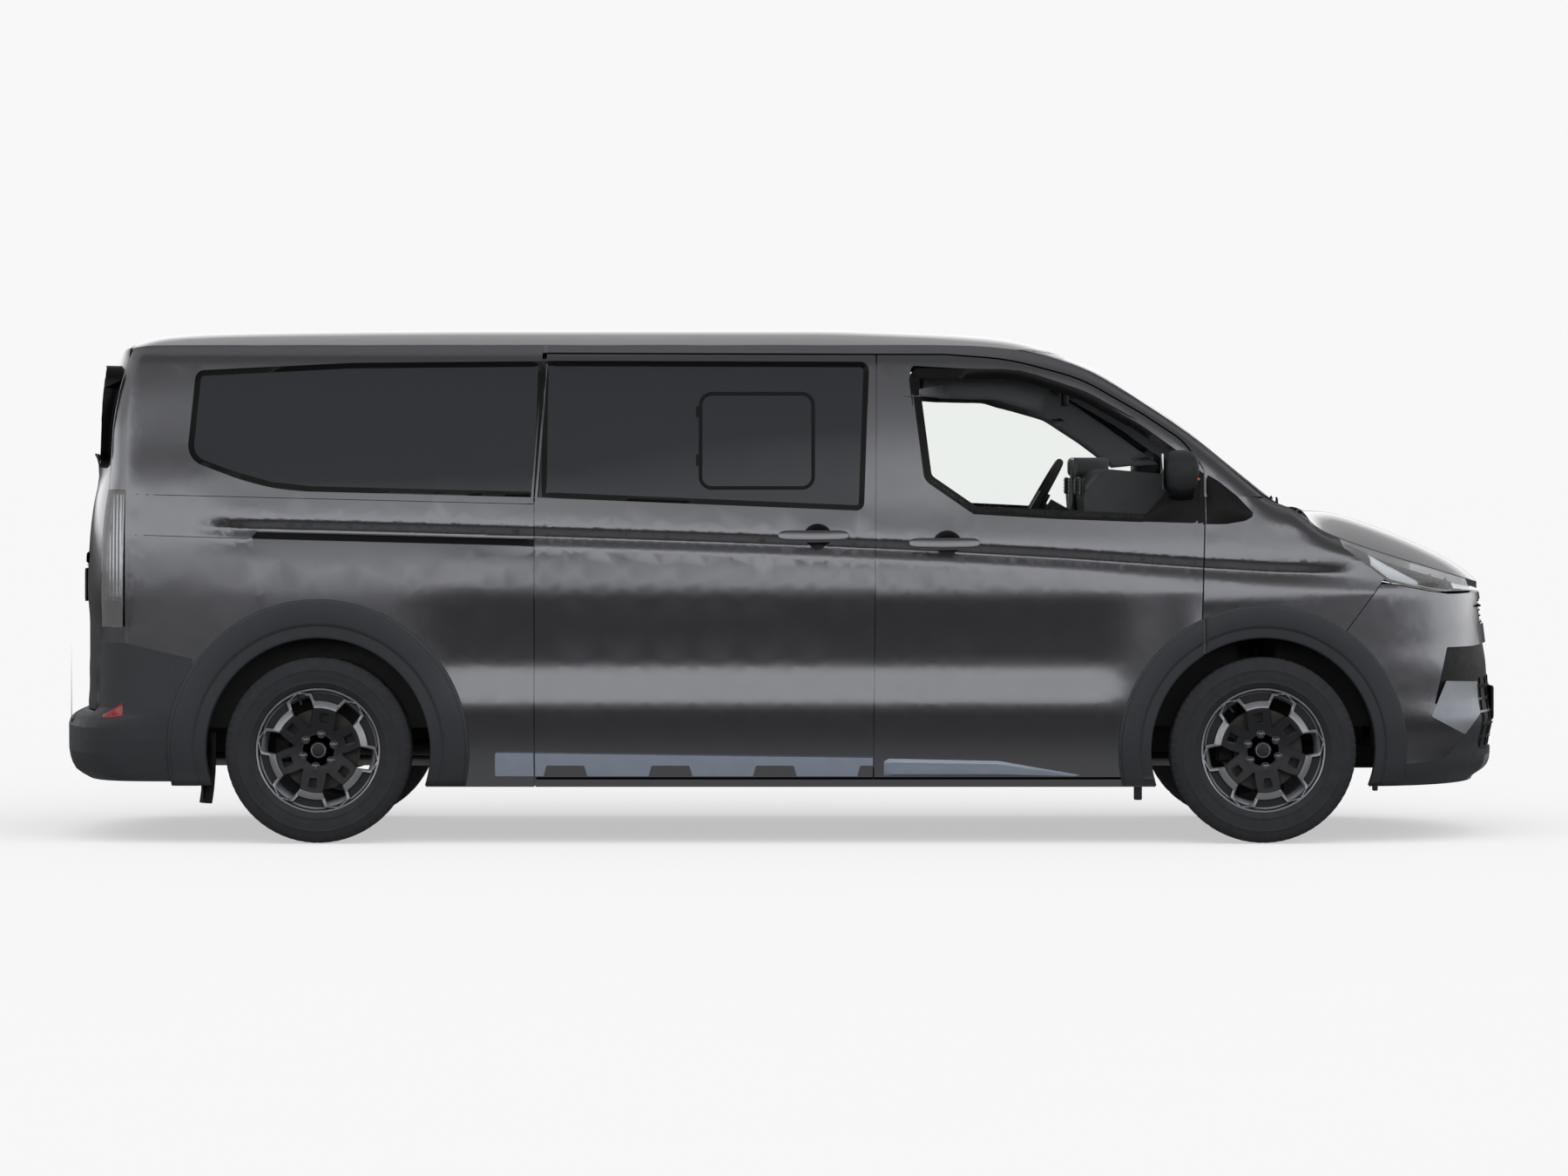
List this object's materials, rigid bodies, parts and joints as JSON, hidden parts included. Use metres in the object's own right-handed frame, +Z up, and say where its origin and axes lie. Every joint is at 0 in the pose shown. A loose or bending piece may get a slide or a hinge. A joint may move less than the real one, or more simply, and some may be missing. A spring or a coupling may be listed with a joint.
{
  "type": "minibus",
  "caption": "Long-wheelbase minibus with a short sloped nose, glazed sides, sliding side doors, a full-height tailgate and dark arch cladding.",
  "frame": {"origin": "on the ground, midway between the ends of the bumpers and on the centre plane", "axes": "+X forwards, +Y to the vehicle's left, +Z up"},
  "size_m": [5.438, 2.29, 1.9149],
  "materials": {
    "body_paint": "metallic dark grey clearcoat",
    "frame_paint": "dark paint behind the doors",
    "black_plastic": "grained black",
    "trim_silver": "blue silver satin",
    "privacy_glass": "dark tinted",
    "clear_glass": "lightly tinted",
    "head_lamp": "clear lamp cover",
    "tail_lamp": "pale ribbed lens",
    "seal": "extruded seal",
    "tyre": "moulded",
    "wheel_alloy": "machined and painted",
    "disc_iron": "turned",
    "chassis_iron": "black coated",
    "exhaust_steel": "heat dulled",
    "tank_plastic": "moulded",
    "wheel_cover": "stitched",
    "seat_fabric": "woven dark grey"
  },
  "bodies": {
    "body": {"rear_quarters": "body_paint", "side_frames": "frame_paint", "sliding_doors": "body_paint", "side_glass": "privacy_glass", "front_fenders": "body_paint", "head_lamps": "head_lamp", "tail_lamps": "tail_lamp", "arch_cladding": "black_plastic", "sill_trims": "trim_silver", "door_seals": "seal", "sliding_door_handles": "body_paint", "roof_panel": "body_paint", "windscreen": "clear_glass", "cowl_panel": "black_plastic", "front_bumper": "body_paint", "bumper_lip": "black_plastic", "bumper_silver": "trim_silver", "grilles": "black_plastic", "rear_bumper": "black_plastic", "floor_pan": "frame_paint", "front_suspension": "chassis_iron", "rear_axle": "chassis_iron", "arch_liners": "black_plastic", "dashboard": "black_plastic", "front_seats": "seat_fabric", "rear_seats": "seat_fabric", "engine_block": "chassis_iron", "fuel_tank": "tank_plastic", "exhaust": "exhaust_steel"},
    "tailgate": {"tailgate": "body_paint", "tailgate_glass": "privacy_glass"},
    "hood": {"hood": "body_paint"},
    "steering_wheel": {"steering_wheel": "wheel_cover"},
    "front_door_right": {"front_door_right": "body_paint", "door_glass_right": "clear_glass", "door_trim_right": "black_plastic", "door_handle_right": "body_paint", "door_mirror_right": "black_plastic"},
    "knuckle_right": {"knuckle_right": "chassis_iron"},
    "wheel_front_right": {"tyre_front_right": "tyre", "rim_front_right": "wheel_alloy", "brake_disc_front_right": "disc_iron"},
    "wheel_rear_right": {"tyre_rear_right": "tyre", "rim_rear_right": "wheel_alloy", "brake_disc_rear_right": "disc_iron"},
    "front_door_left": {"front_door_left": "body_paint", "door_glass_left": "clear_glass", "door_trim_left": "black_plastic", "door_handle_left": "body_paint", "door_mirror_left": "black_plastic"},
    "knuckle_left": {"knuckle_left": "chassis_iron"},
    "wheel_front_left": {"tyre_front_left": "tyre", "rim_front_left": "wheel_alloy", "brake_disc_front_left": "disc_iron"},
    "wheel_rear_left": {"tyre_rear_left": "tyre", "rim_rear_left": "wheel_alloy", "brake_disc_rear_left": "disc_iron"}
  },
  "joints": [
    {"name": "front_door_right_hinge", "type": "hinge", "parent": "body", "child": "front_door_right", "pos_m": [1.563, -1.006, 0.7], "axis": [0, 0, 1], "range_deg": [0, 65]},
    {"name": "steer_right", "type": "hinge", "parent": "body", "child": "knuckle_right", "pos_m": [1.778, -0.8, 0.345], "axis": [0, 0, 1], "range_deg": [-35, 35]},
    {"name": "wheel_front_right_spin", "type": "hinge", "parent": "knuckle_right", "child": "wheel_front_right", "pos_m": [1.778, -0.87, 0.345], "axis": [0, 1, 0], "continuous": true},
    {"name": "wheel_rear_right_spin", "type": "hinge", "parent": "body", "child": "wheel_rear_right", "pos_m": [-1.722, -0.87, 0.345], "axis": [0, 1, 0], "continuous": true},
    {"name": "front_door_left_hinge", "type": "hinge", "parent": "body", "child": "front_door_left", "pos_m": [1.563, 1.006, 0.7], "axis": [0, 0, -1], "range_deg": [0, 65]},
    {"name": "steer_left", "type": "hinge", "parent": "body", "child": "knuckle_left", "pos_m": [1.778, 0.8, 0.345], "axis": [0, 0, 1], "range_deg": [-35, 35]},
    {"name": "wheel_front_left_spin", "type": "hinge", "parent": "knuckle_left", "child": "wheel_front_left", "pos_m": [1.778, 0.87, 0.345], "axis": [0, 1, 0], "continuous": true},
    {"name": "wheel_rear_left_spin", "type": "hinge", "parent": "body", "child": "wheel_rear_left", "pos_m": [-1.722, 0.87, 0.345], "axis": [0, 1, 0], "continuous": true},
    {"name": "tailgate_hinge", "type": "hinge", "parent": "body", "child": "tailgate", "pos_m": [-2.44, 0, 1.868], "axis": [0, 1, 0], "range_deg": [0, 85]},
    {"name": "hood_hinge", "type": "hinge", "parent": "body", "child": "hood", "pos_m": [1.95, 0, 1.246], "axis": [0, -1, 0], "range_deg": [0, 50]},
    {"name": "steering_wheel_turn", "type": "hinge", "parent": "body", "child": "steering_wheel", "pos_m": [0.99, 0.42, 1.253], "axis": [-0.8704, 0, 0.4924], "range_deg": [-525, 525]}
  ],
  "couplings": [
    {"joint": "steer_left", "follows": "steer_right", "ratio": 1},
    {"joint": "steering_wheel_turn", "follows": "steer_right", "ratio": 15}
  ]
}
